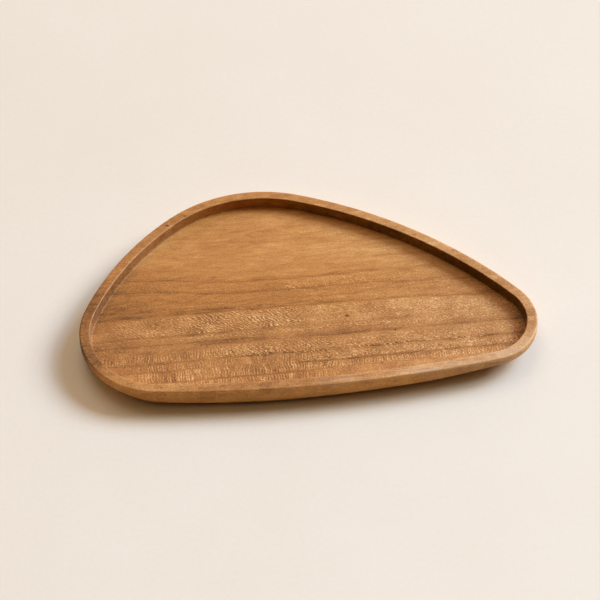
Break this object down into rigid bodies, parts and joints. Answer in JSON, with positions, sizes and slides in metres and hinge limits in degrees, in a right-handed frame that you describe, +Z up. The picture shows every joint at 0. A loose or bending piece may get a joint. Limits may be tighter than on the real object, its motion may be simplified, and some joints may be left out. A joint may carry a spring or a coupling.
{
  "type": "coin tray",
  "caption": "Low wooden coin tray with a rounded triangular outline, a flat rim and a shallow flat-floored pocket, on small non-slip pads.",
  "frame": {"origin": "on the table, under the middle of the tray's bounding box", "axes": "+X along the grain and the long side towards the small right corner, +Y towards the broad back corner, +Z up out of the pocket"},
  "size_m": [0.22, 0.1276, 0.0125],
  "materials": {
    "wood": "satin",
    "pad_rubber": "matte"
  },
  "bodies": {
    "root": {"tray_body": "wood", "pad_left": "pad_rubber", "pad_right": "pad_rubber", "pad_back": "pad_rubber"}
  },
  "joints": []
}
